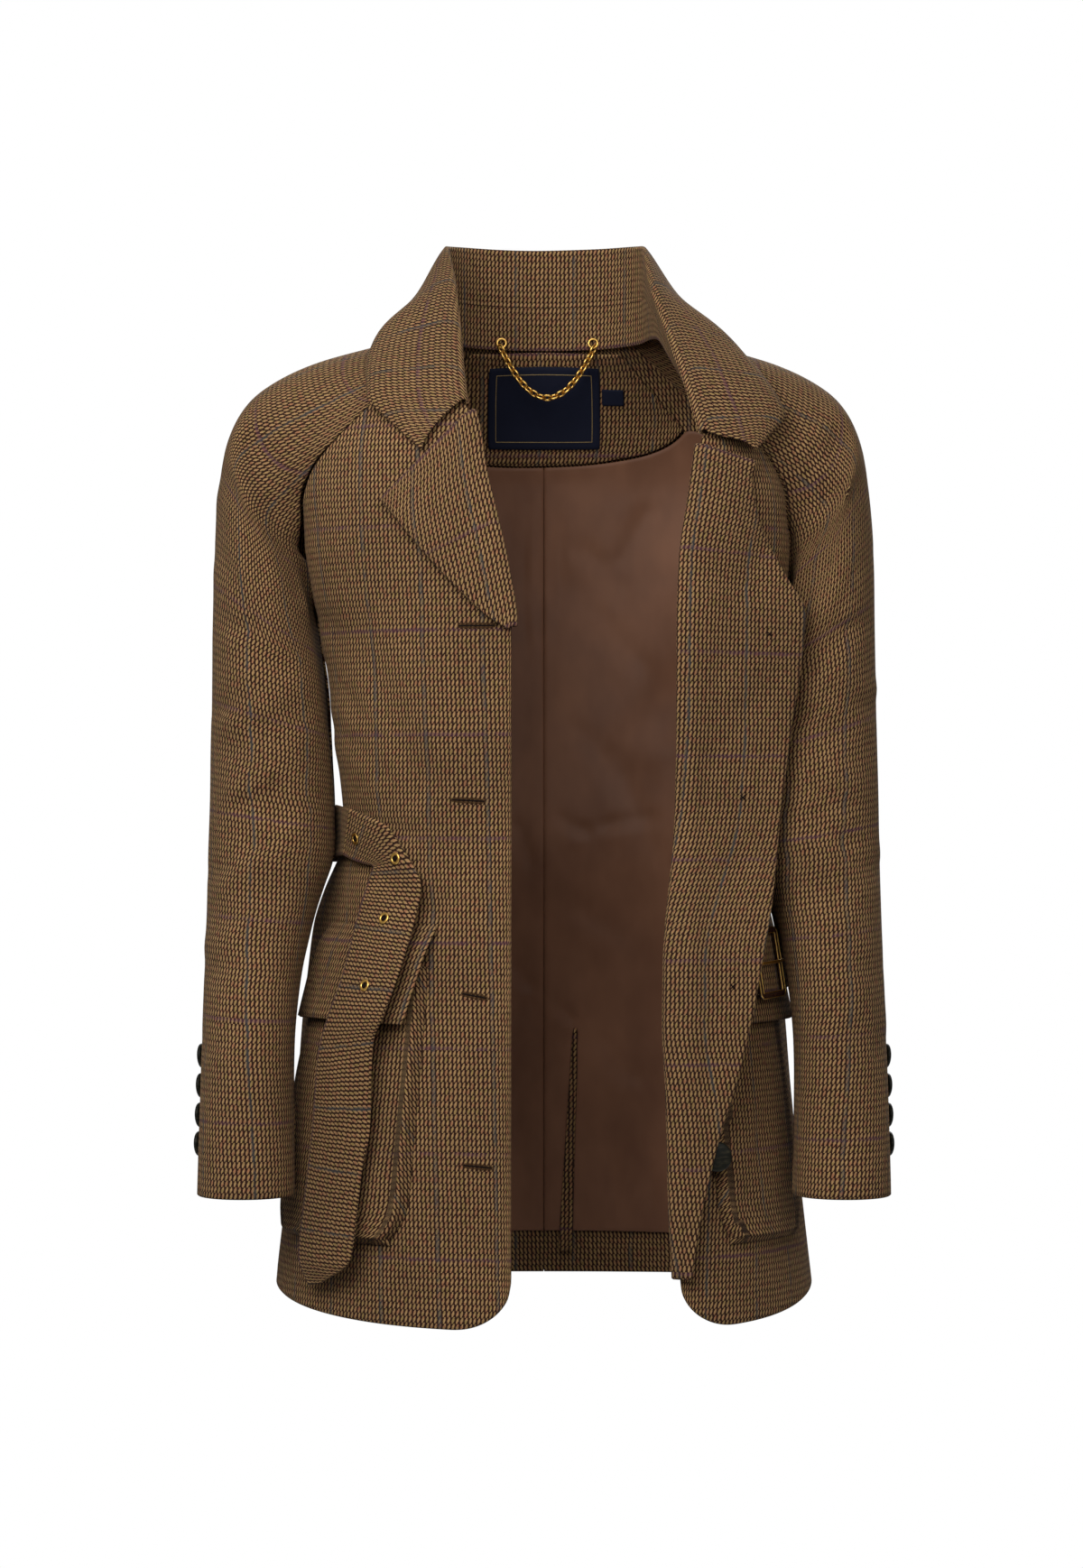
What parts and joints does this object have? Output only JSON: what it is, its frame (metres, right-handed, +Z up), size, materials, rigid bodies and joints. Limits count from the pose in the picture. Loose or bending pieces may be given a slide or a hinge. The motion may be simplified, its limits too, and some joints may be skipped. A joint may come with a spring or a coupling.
{
  "type": "belted tweed raglan jacket",
  "caption": "Open hip-length tweed jacket with raglan sleeves, turned collar, turned-back front, bellows pockets, loose belt and satin back lining, filled out as if worn",
  "frame": {"origin": "Middle of the neck base, where the wearer's shoulders and neck carry the jacket", "axes": "+Z up, -Y is the front of the jacket, +X is the wearer's left"},
  "size_m": [0.5444, 0.2811, 0.849],
  "materials": {
    "tweed": "brown and tan tooth-check wool tweed with a blue-grey and mauve windowpane",
    "lining": "brown satin",
    "navy_label": "woven navy label, bare",
    "gold": "polished gold-coloured metal",
    "dark_horn": "dark green-black horn, polished",
    "dark_enamel": "dark enamel with gold edges"
  },
  "bodies": {
    "root": {"back_left": "tweed", "back_neck_facing": "tweed", "back_right": "tweed", "belt": "tweed", "belt_loop_left": "tweed", "belt_loop_right": "tweed", "buckle_frame": "dark_enamel", "buckle_prong": "gold", "chain_ring_left": "gold", "chain_ring_right": "gold", "collar_fall": "tweed", "collar_stand": "tweed", "cuff_button_left_1": "dark_horn", "cuff_button_left_2": "dark_horn", "cuff_button_left_3": "dark_horn", "cuff_button_left_4": "dark_horn", "cuff_button_right_1": "dark_horn", "cuff_button_right_2": "dark_horn", "cuff_button_right_3": "dark_horn", "cuff_button_right_4": "dark_horn", "eyelet_1": "gold", "eyelet_2": "gold", "eyelet_3": "gold", "eyelet_4": "gold", "facing_left": "tweed", "facing_right": "tweed", "flap_left": "tweed", "flap_right": "tweed", "front_button_1": "dark_horn", "front_button_2": "dark_horn", "front_button_3": "dark_horn", "front_button_4": "dark_horn", "front_left": "tweed", "front_right": "tweed", "hanger_chain": "gold", "label": "navy_label", "lining_left": "lining", "lining_right": "lining", "pocket_left": "tweed", "pocket_right": "tweed", "size_tab": "navy_label", "sleeve_left_back": "tweed", "sleeve_left_front": "tweed", "sleeve_right_back": "tweed", "sleeve_right_front": "tweed", "vent_underlay": "tweed"}
  },
  "joints": []
}
